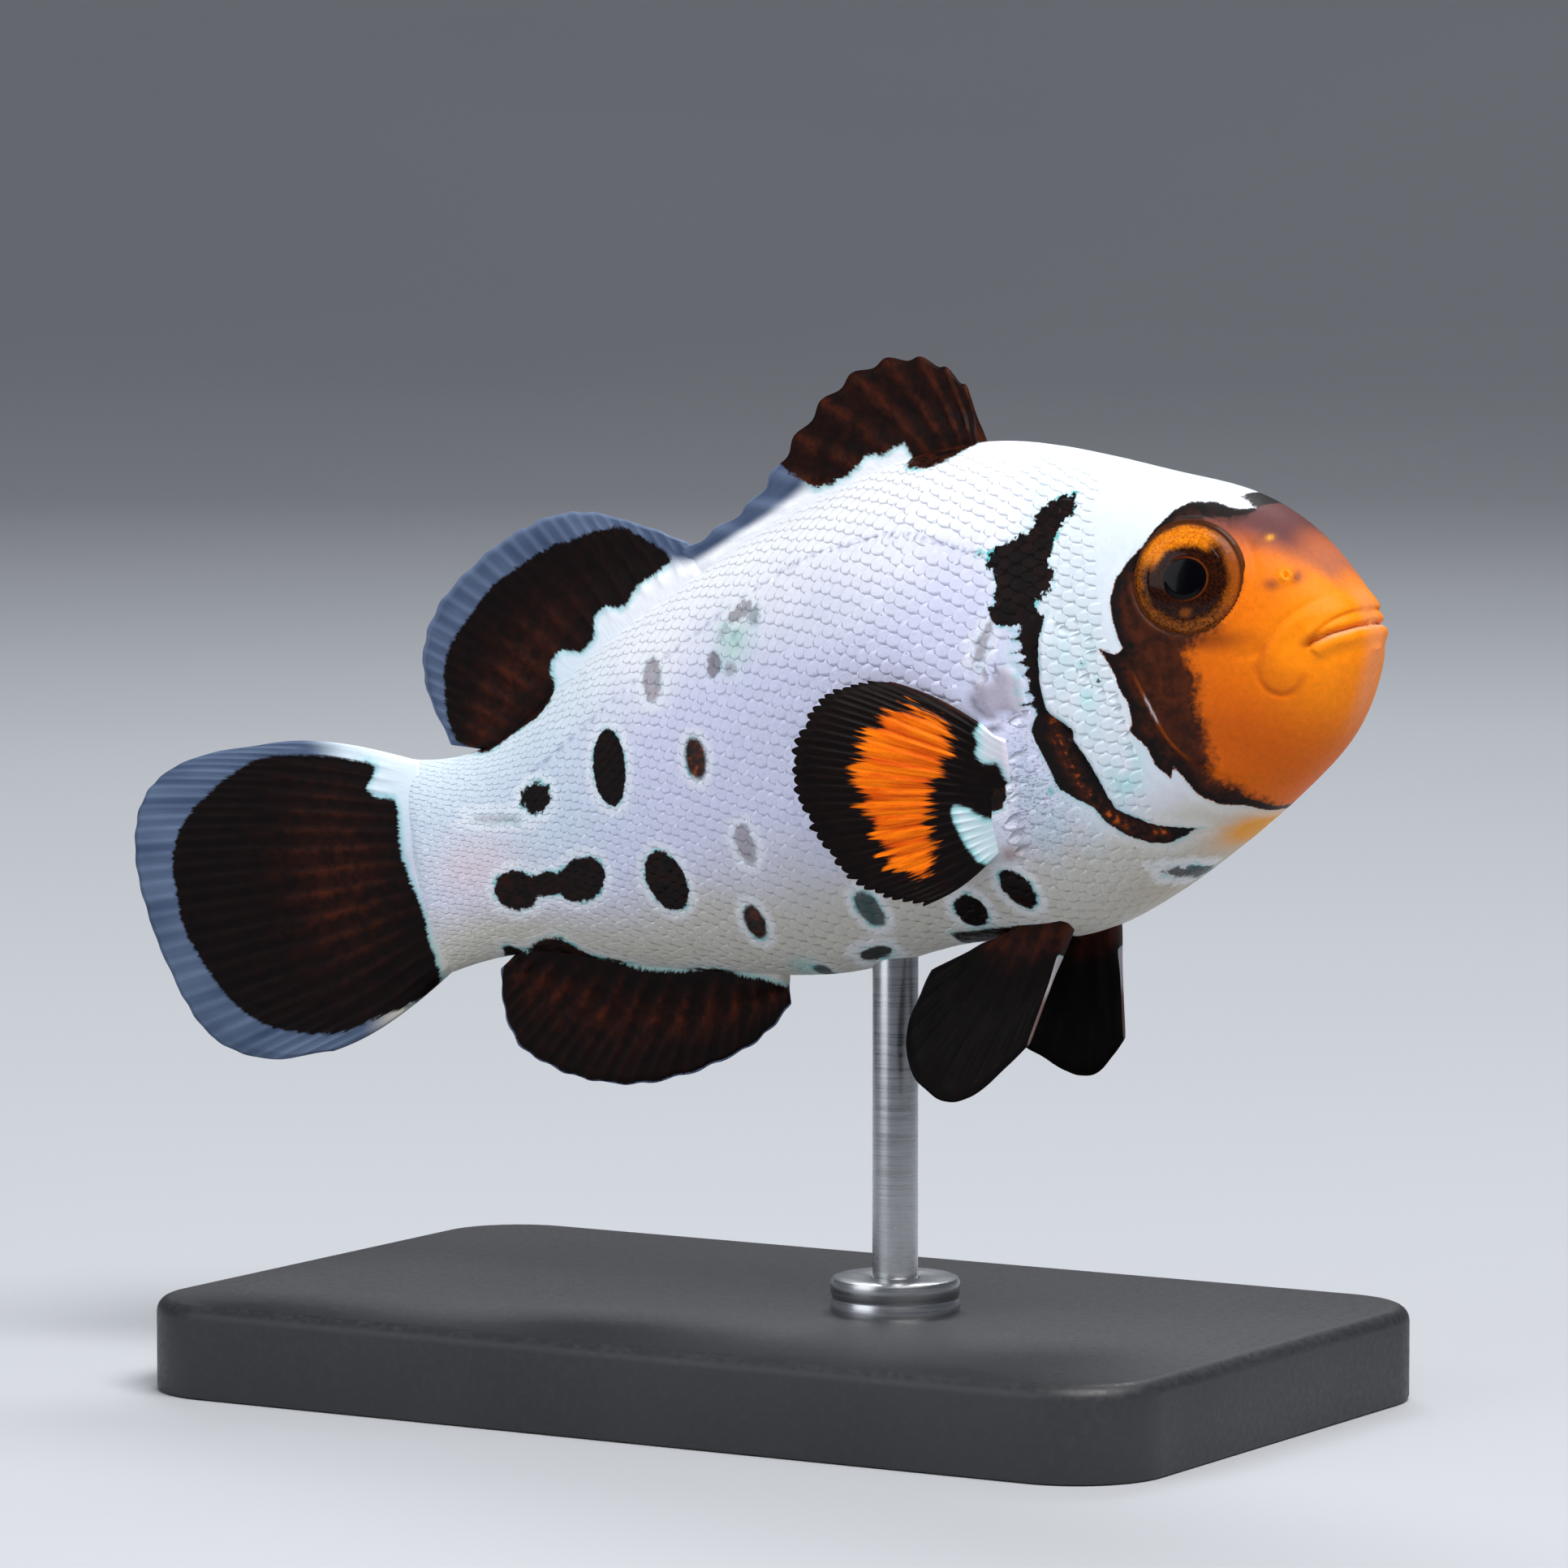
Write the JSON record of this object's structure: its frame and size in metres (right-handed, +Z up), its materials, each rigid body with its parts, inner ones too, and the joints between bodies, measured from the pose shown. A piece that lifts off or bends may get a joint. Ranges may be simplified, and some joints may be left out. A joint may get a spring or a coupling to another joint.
{
  "type": "clownfish display model",
  "caption": "Life-size still model of a white, black and orange designer clownfish swimming nose-up, held on a plain base by a thin rod.",
  "frame": {"origin": "middle of the underside of the stand's base", "axes": "+X toward the fish's snout, +Y to the fish's left side, +Z up"},
  "size_m": [0.0725, 0.036, 0.055],
  "materials": {
    "head": "satin painted resin, orange face with black bands, moist-looking fish skin",
    "lower_jaw": "satin painted resin, orange",
    "gill_cover_right": "satin painted resin, white band with a black edge",
    "gill_cover_left": "satin painted resin, white band with a black edge",
    "eye_right": "clear gloss over a dark pupil and a golden-brown iris",
    "eye_left": "clear gloss over a dark pupil and a golden-brown iris",
    "trunk": "satin painted resin, white with black spots",
    "tail_stalk": "satin painted resin, white with black spots",
    "dorsal_fin_spiny": "satin, slightly translucent fin with a slate-blue edge",
    "dorsal_fin_soft": "satin, slightly translucent fin with a slate-blue edge",
    "anal_fin": "satin, slightly translucent fin with a slate-blue edge",
    "caudal_fin": "satin, slightly translucent fin with a slate-blue edge",
    "pectoral_fin_right": "satin, slightly translucent fin with a slate-blue edge",
    "pectoral_fin_left": "satin, slightly translucent fin with a slate-blue edge",
    "pelvic_fin_right": "satin, slightly translucent fin with a slate-blue edge",
    "pelvic_fin_left": "satin, slightly translucent fin with a slate-blue edge",
    "stand_base": "satin black",
    "stand_rod": "brushed",
    "stand_collar": "brushed"
  },
  "bodies": {
    "root": {"head": "head", "lower_jaw": "lower_jaw", "gill_cover_right": "gill_cover_right", "gill_cover_left": "gill_cover_left", "eye_right": "eye_right", "eye_left": "eye_left", "trunk": "trunk", "tail_stalk": "tail_stalk", "dorsal_fin_spiny": "dorsal_fin_spiny", "dorsal_fin_soft": "dorsal_fin_soft", "anal_fin": "anal_fin", "caudal_fin": "caudal_fin", "pectoral_fin_right": "pectoral_fin_right", "pectoral_fin_left": "pectoral_fin_left", "pelvic_fin_right": "pelvic_fin_right", "pelvic_fin_left": "pelvic_fin_left", "stand_base": "stand_base", "stand_rod": "stand_rod", "stand_collar": "stand_collar"}
  },
  "joints": []
}
